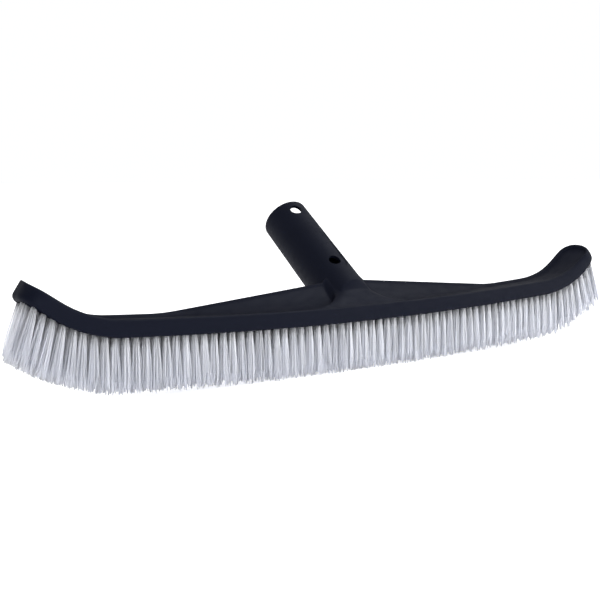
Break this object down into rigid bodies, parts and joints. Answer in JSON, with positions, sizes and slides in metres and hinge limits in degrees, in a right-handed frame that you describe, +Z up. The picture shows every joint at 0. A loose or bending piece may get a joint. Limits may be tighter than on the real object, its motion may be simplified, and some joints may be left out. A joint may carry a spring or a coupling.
{
  "type": "pool wall brush",
  "caption": "Wide bowed pool wall brush with turned-up ends, white bristle rows and a leaning hollow stub that enters a telescopic pole.",
  "frame": {"origin": "bottom centre of the bounding box, on the plane that the worn bristle tips stand on", "axes": "+X along the brush, +Y from its front edge towards the leaning stub's open end, +Z up"},
  "size_m": [0.4668, 0.0986, 0.1055],
  "materials": {
    "body": "semi-matte moulded plastic, blue-black",
    "bristles": "translucent off-white nylon filament",
    "anchors": "flat drawn wire"
  },
  "bodies": {
    "root": {"brush_back": "body", "stub_tube": "body", "tufts_row1_left": "bristles", "tufts_row1_middle": "bristles", "tufts_row1_right": "bristles", "tufts_row2_left": "bristles", "tufts_row2_middle": "bristles", "tufts_row2_right": "bristles", "tufts_row3_left": "bristles", "tufts_row3_middle": "bristles", "tufts_row3_right": "bristles", "tufts_row4_left": "bristles", "tufts_row4_middle": "bristles", "tufts_row4_right": "bristles", "tufts_row5_left": "bristles", "tufts_row5_middle": "bristles", "tufts_row5_right": "bristles", "anchors_row1": "anchors", "anchors_row2": "anchors", "anchors_row3": "anchors", "anchors_row4": "anchors", "anchors_row5": "anchors"}
  },
  "joints": []
}
